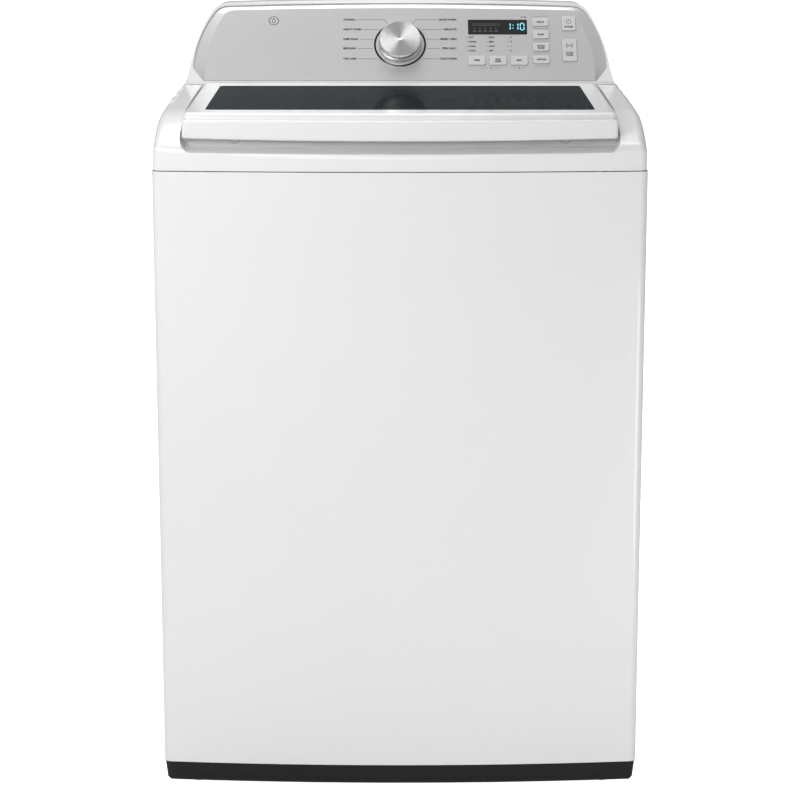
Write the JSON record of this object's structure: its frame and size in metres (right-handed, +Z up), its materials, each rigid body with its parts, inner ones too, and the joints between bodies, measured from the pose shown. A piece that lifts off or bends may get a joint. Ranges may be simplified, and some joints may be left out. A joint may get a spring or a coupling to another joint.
{
  "type": "top load washing machine",
  "caption": "Top-loading washing machine: crowned white cabinet, hinged lid with tinted glass, leaning rear console with dial, keys and display, and a hung tub with basket and agitator",
  "frame": {"origin": "on the floor, at the middle of the machine's plan, which runs from the crown of the front to the ends of the hose ports", "axes": "+X is to the right as seen from the front, +Y is to the back, +Z is up; the front faces -Y"},
  "size_m": [0.686, 0.742, 1.112],
  "materials": {
    "white_steel": "smooth white enamel on sheet steel",
    "white_plastic": "glossy white moulding",
    "base_plastic": "fine-grained charcoal moulding",
    "lid_glass": "dark tinted tempered glass",
    "fascia_silver": "satin silver paint with a clear coat",
    "dial_black": "gloss black",
    "dial_metal": "radially brushed with a bright rim",
    "display_smoke": "smoked display window",
    "button_silver": "satin silver keys",
    "circuit_board": "green circuit board in a tray",
    "black_moulding": "black engineering plastic",
    "bolt_steel": "bright steel",
    "galvanised": "galvanised sheet",
    "stainless": "brushed stainless sheet, pierced",
    "tub_plastic": "light grey filled plastic",
    "balance_plastic": "blue-grey plastic",
    "agitator_plastic": "pale grey-white plastic",
    "dispenser_plastic": "white plastic",
    "cap_blue": "blue plastic",
    "cast_hub": "cast",
    "shaft_steel": "ground steel",
    "rotor_steel": "dark coated steel",
    "rubber_black": "moulded rubber",
    "foot_rubber": "rubber-soled levelling foot",
    "valve_hot": "red port",
    "valve_cold": "blue port"
  },
  "bodies": {
    "cabinet": {"cabinet_shell": "white_steel", "top_cover": "white_plastic", "cover_plugs": "white_plastic", "console_housing": "white_plastic", "base_frame": "base_plastic", "console_fascia": "fascia_silver", "dial_ring": "dial_black", "display_window": "display_smoke", "display_board": "circuit_board", "main_board": "circuit_board", "lid_lock_housing": "black_moulding", "cord_gland": "black_moulding", "drain_pump": "black_moulding", "hinge_brackets": "bolt_steel", "body_screws": "bolt_steel", "rear_panel": "galvanised", "suspension_brackets": "galvanised", "dispenser_housing": "dispenser_plastic", "water_jet_nozzle": "dispenser_plastic", "suspension_rods": "shaft_steel", "drain_hose": "rubber_black", "lid_bumpers": "rubber_black", "hot_inlet_valve": "valve_hot", "cold_inlet_valve": "valve_cold"},
    "tub": {"outer_tub": "tub_plastic", "tub_ring": "tub_plastic", "motor_stator": "rotor_steel", "shaft_bearings": "shaft_steel", "suspension_springs": "shaft_steel", "sump_bellows": "rubber_black"},
    "basket": {"wash_basket": "stainless", "balance_ring": "balance_plastic", "basket_hub": "cast_hub"},
    "agitator_drive": {"agitator": "agitator_plastic", "agitator_cap": "agitator_plastic", "drive_shaft": "shaft_steel", "motor_rotor": "rotor_steel"},
    "lid": {"lid_frame": "white_plastic", "lid_glass": "lid_glass", "lid_handle": "white_plastic", "lid_hinge_arms": "bolt_steel", "lid_strike": "bolt_steel"},
    "drawer": {"dispenser_drawer": "dispenser_plastic", "softener_cap": "cap_blue"},
    "dial": {"dial_knob": "dial_metal"},
    "impeller": {"pump_impeller": "black_moulding"},
    "lock_bolt": {"lid_lock_bolt": "bolt_steel"},
    "key_temperature": {"button_temperature": "button_silver"},
    "key_soil_level": {"button_soil_level": "button_silver"},
    "key_spin_speed": {"button_spin_speed": "button_silver"},
    "key_delay_end": {"button_delay_end": "button_silver"},
    "key_pre_soak": {"button_pre_soak": "button_silver"},
    "key_extra_rinse": {"button_extra_rinse": "button_silver"},
    "key_options": {"button_options": "button_silver"},
    "key_power": {"button_power": "button_silver"},
    "key_start_pause": {"button_start_pause": "button_silver"},
    "leg_front_left": {"foot_front_left": "foot_rubber"},
    "leg_front_right": {"foot_front_right": "foot_rubber"},
    "leg_rear_left": {"foot_rear_left": "foot_rubber"},
    "leg_rear_right": {"foot_rear_right": "foot_rubber"}
  },
  "joints": [
    {"name": "lid_hinge", "type": "hinge", "parent": "cabinet", "child": "lid", "pos_m": [0, 0.033, 0.975], "axis": [-1, 0, 0], "range_deg": [0, 100]},
    {"name": "dial_spin", "type": "hinge", "parent": "cabinet", "child": "dial", "pos_m": [0, 0.10412, 1.04461], "axis": [0, -0.7986, 0.6018], "continuous": true},
    {"name": "press_temperature", "type": "slide", "parent": "cabinet", "child": "key_temperature", "axis": [0, 0.7986, -0.6018], "range_m": [0, 0.001], "stiffness_N_per_m": 800, "springref_m": -0.0005},
    {"name": "press_soil_level", "type": "slide", "parent": "cabinet", "child": "key_soil_level", "axis": [0, 0.7986, -0.6018], "range_m": [0, 0.001], "stiffness_N_per_m": 800, "springref_m": -0.0005},
    {"name": "press_spin_speed", "type": "slide", "parent": "cabinet", "child": "key_spin_speed", "axis": [0, 0.7986, -0.6018], "range_m": [0, 0.001], "stiffness_N_per_m": 800, "springref_m": -0.0005},
    {"name": "press_delay_end", "type": "slide", "parent": "cabinet", "child": "key_delay_end", "axis": [0, 0.7986, -0.6018], "range_m": [0, 0.001], "stiffness_N_per_m": 800, "springref_m": -0.0005},
    {"name": "press_pre_soak", "type": "slide", "parent": "cabinet", "child": "key_pre_soak", "axis": [0, 0.7986, -0.6018], "range_m": [0, 0.001], "stiffness_N_per_m": 800, "springref_m": -0.0005},
    {"name": "press_extra_rinse", "type": "slide", "parent": "cabinet", "child": "key_extra_rinse", "axis": [0, 0.7986, -0.6018], "range_m": [0, 0.001], "stiffness_N_per_m": 800, "springref_m": -0.0005},
    {"name": "press_options", "type": "slide", "parent": "cabinet", "child": "key_options", "axis": [0, 0.7986, -0.6018], "range_m": [0, 0.001], "stiffness_N_per_m": 800, "springref_m": -0.0005},
    {"name": "press_power", "type": "slide", "parent": "cabinet", "child": "key_power", "axis": [0, 0.7986, -0.6018], "range_m": [0, 0.001], "stiffness_N_per_m": 800, "springref_m": -0.0005},
    {"name": "press_start_pause", "type": "slide", "parent": "cabinet", "child": "key_start_pause", "axis": [0, 0.7986, -0.6018], "range_m": [0, 0.001], "stiffness_N_per_m": 800, "springref_m": -0.0005},
    {"name": "level_front_left", "type": "slide", "parent": "cabinet", "child": "leg_front_left", "axis": [0, 0, -1], "range_m": [0, 0.02]},
    {"name": "level_front_right", "type": "slide", "parent": "cabinet", "child": "leg_front_right", "axis": [0, 0, -1], "range_m": [0, 0.02]},
    {"name": "level_rear_left", "type": "slide", "parent": "cabinet", "child": "leg_rear_left", "axis": [0, 0, -1], "range_m": [0, 0.02]},
    {"name": "level_rear_right", "type": "slide", "parent": "cabinet", "child": "leg_rear_right", "axis": [0, 0, -1], "range_m": [0, 0.02]},
    {"name": "tub_bounce", "type": "slide", "parent": "cabinet", "child": "tub", "axis": [0, 0, 1], "range_m": [-0.03, 0.01], "stiffness_N_per_m": 6000, "springref_m": 0.0605, "deforming": ["suspension_springs", "sump_bellows"]},
    {"name": "basket_spin", "type": "hinge", "parent": "tub", "child": "basket", "pos_m": [0, -0.02, 0.24], "axis": [0, 0, 1], "continuous": true},
    {"name": "agitator_spin", "type": "hinge", "parent": "basket", "child": "agitator_drive", "pos_m": [0, -0.02, 0.24], "axis": [0, 0, 1], "continuous": true},
    {"name": "drawer_slide", "type": "slide", "parent": "cabinet", "child": "drawer", "axis": [0, -1, 0], "range_m": [0, 0.12]},
    {"name": "impeller_spin", "type": "hinge", "parent": "cabinet", "child": "impeller", "pos_m": [-0.18, -0.19, 0.1], "axis": [1, 0, 0], "continuous": true},
    {"name": "lock_slide", "type": "slide", "parent": "cabinet", "child": "lock_bolt", "axis": [-1, 0, 0], "range_m": [0, 0.008], "stiffness_N_per_m": 120, "springref_m": -0.004}
  ]
}
